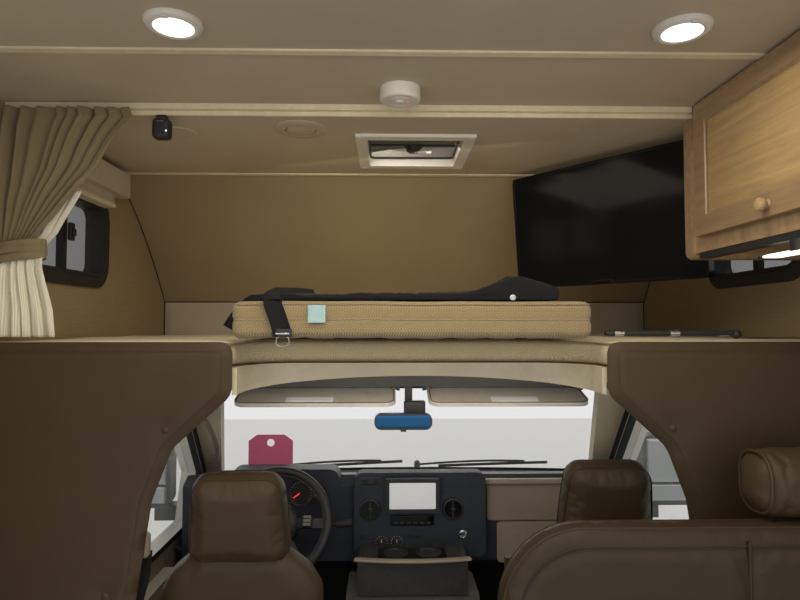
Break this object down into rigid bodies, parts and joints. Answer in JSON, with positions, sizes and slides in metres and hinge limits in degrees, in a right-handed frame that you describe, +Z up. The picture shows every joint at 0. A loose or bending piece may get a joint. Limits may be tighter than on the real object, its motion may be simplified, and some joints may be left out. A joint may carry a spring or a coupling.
{
  "type": "motorhome cab and over-cab bunk section",
  "caption": "Front section of a motorhome, open at the rear: driving cab with seats and dash, sleeping bunk over it, and a bench with an overhead cabinet behind.",
  "frame": {"origin": "ground level under the chassis rails, on the centre line, halfway along the section", "axes": "+X to the passenger side, +Y forward, +Z up"},
  "size_m": [2.51, 2.2, 2.436],
  "materials": {
    "black_plastic": "black plastic",
    "bunk_board": "plywood",
    "cab_shell": "gloss cream-white body paint",
    "ceiling_vinyl": "soft beige ceiling vinyl",
    "clear_glass": "clear",
    "coach_wall": "gelcoat outside, fabric-look board inside",
    "cream_trim": "cream moulded trim",
    "curtain_cloth": "khaki curtain cloth",
    "dark_vinyl": "dark brown upholstery vinyl",
    "dash_dark": "charcoal grained plastic",
    "floor_vinyl": "vinyl plank",
    "frame_black": "satin black chassis paint",
    "grey_liner": "dark grey headliner",
    "herringbone": "beige herringbone weave",
    "maple": "light stained maple",
    "mirror_black": "black mirror shell",
    "net_black": "black webbing and net",
    "screen_black": "gloss black",
    "stack_black": "black plastic",
    "taupe_plastic": "taupe grained plastic",
    "tinted_glass": "tinted",
    "visor_grey": "light grey visor",
    "white_plastic": "off-white plastic"
  },
  "bodies": {
    "coach": {"bench_back_cushion": "dark_vinyl", "bench_base": "dark_vinyl", "bench_bolster": "dark_vinyl", "bench_seat_cushion": "dark_vinyl", "bunk_deck": "bunk_board", "bunk_mattress": "herringbone", "bunk_window_frames": "black_plastic", "bunk_window_panes": "tinted_glass", "cab_floor": "dash_dark", "cab_frames": "cab_shell", "cab_header_trim": "cream_trim", "cab_headliner": "grey_liner", "cabin_mirror": "mirror_black", "cabinet_light": "black_plastic", "ceiling_lights": "white_plastic", "ceiling_trim": "cream_trim", "centre_stack": "stack_black", "chassis_rails": "frame_black", "console_tray": "black_plastic", "curtain": "curtain_cloth", "curtain_track": "white_plastic", "dashboard": "dash_dark", "engine_cover": "dash_dark", "folded_pad": "herringbone", "front_panels": "coach_wall", "left_wall": "coach_wall", "living_floor": "floor_vinyl", "net_bag": "net_black", "nose_cap": "coach_wall", "overhead_cabinet": "maple", "partitions": "dark_vinyl", "pillar_trim": "cream_trim", "right_wall": "coach_wall", "roof": "ceiling_vinyl", "seat_bases": "frame_black", "shade_boxes": "cream_trim", "smoke_alarm": "white_plastic", "steering_column": "black_plastic", "tv_arm": "frame_black", "vent_frame": "white_plastic", "windscreen": "clear_glass"},
    "steering_wheel": {"steering_wheel": "black_plastic"},
    "driver_door": {"left_door": "cab_shell", "left_door_glass": "clear_glass", "left_door_mirror": "mirror_black"},
    "passenger_door": {"right_door": "cab_shell", "right_door_glass": "clear_glass", "right_door_mirror": "mirror_black"},
    "glovebox_lid": {"glovebox_lid": "taupe_plastic"},
    "driver_visor": {"driver_visor": "visor_grey"},
    "passenger_visor": {"passenger_visor": "visor_grey"},
    "cabinet_door": {"cabinet_door": "maple"},
    "television": {"television": "screen_black"},
    "vent_lid": {"vent_lid": "white_plastic"},
    "driver_seat": {"driver_seat_cushion": "dark_vinyl"},
    "driver_seat_back": {"driver_seat_back": "dark_vinyl"},
    "passenger_seat": {"passenger_seat_cushion": "dark_vinyl"},
    "passenger_seat_back": {"passenger_seat_back": "dark_vinyl"}
  },
  "joints": [
    {"name": "steering", "type": "hinge", "parent": "coach", "child": "steering_wheel", "pos_m": [-0.49, 0.24, 0.989], "axis": [0, -0.8829, 0.4695], "range_deg": [-630, 630]},
    {"name": "driver_door_hinge", "type": "hinge", "parent": "coach", "child": "driver_door", "pos_m": [-0.989, 0.77, 0.9], "axis": [0, 0, 1], "range_deg": [-68, 0]},
    {"name": "passenger_door_hinge", "type": "hinge", "parent": "coach", "child": "passenger_door", "pos_m": [0.989, 0.77, 0.9], "axis": [0, 0, 1], "range_deg": [0, 68]},
    {"name": "glovebox_hinge", "type": "hinge", "parent": "coach", "child": "glovebox_lid", "pos_m": [0.555, 0.385, 0.79], "axis": [1, 0, 0], "range_deg": [0, 60]},
    {"name": "driver_visor_hinge", "type": "hinge", "parent": "coach", "child": "driver_visor", "pos_m": [-0.35, 0.34, 1.457], "axis": [1, 0, 0], "range_deg": [0, 100]},
    {"name": "passenger_visor_hinge", "type": "hinge", "parent": "coach", "child": "passenger_visor", "pos_m": [0.35, 0.34, 1.457], "axis": [1, 0, 0], "range_deg": [0, 100]},
    {"name": "cabinet_door_hinge", "type": "hinge", "parent": "coach", "child": "cabinet_door", "pos_m": [0.781, -0.67, 2.321], "axis": [0, 1, 0], "range_deg": [0, 80]},
    {"name": "tv_swivel", "type": "hinge", "parent": "coach", "child": "television", "pos_m": [0.72808, 0.18216, 2.061], "axis": [0, 0, 1], "range_deg": [-10, 10]},
    {"name": "vent_lid_hinge", "type": "hinge", "parent": "coach", "child": "vent_lid", "pos_m": [0, 0.29, 2.396], "axis": [1, 0, 0], "range_deg": [-60, 0]},
    {"name": "driver_seat_slide", "type": "slide", "parent": "coach", "child": "driver_seat", "axis": [0, 1, 0], "range_m": [0, 0.12]},
    {"name": "driver_recline", "type": "hinge", "parent": "driver_seat", "child": "driver_seat_back", "pos_m": [-0.5, -0.13777, 0.57], "axis": [1, 0, 0], "range_deg": [0, 22]},
    {"name": "passenger_seat_slide", "type": "slide", "parent": "coach", "child": "passenger_seat", "axis": [0, 1, 0], "range_m": [0, 0.1]},
    {"name": "passenger_recline", "type": "hinge", "parent": "passenger_seat", "child": "passenger_seat_back", "pos_m": [0.568, -0.01977, 0.57], "axis": [1, 0, 0], "range_deg": [0, 18]}
  ]
}
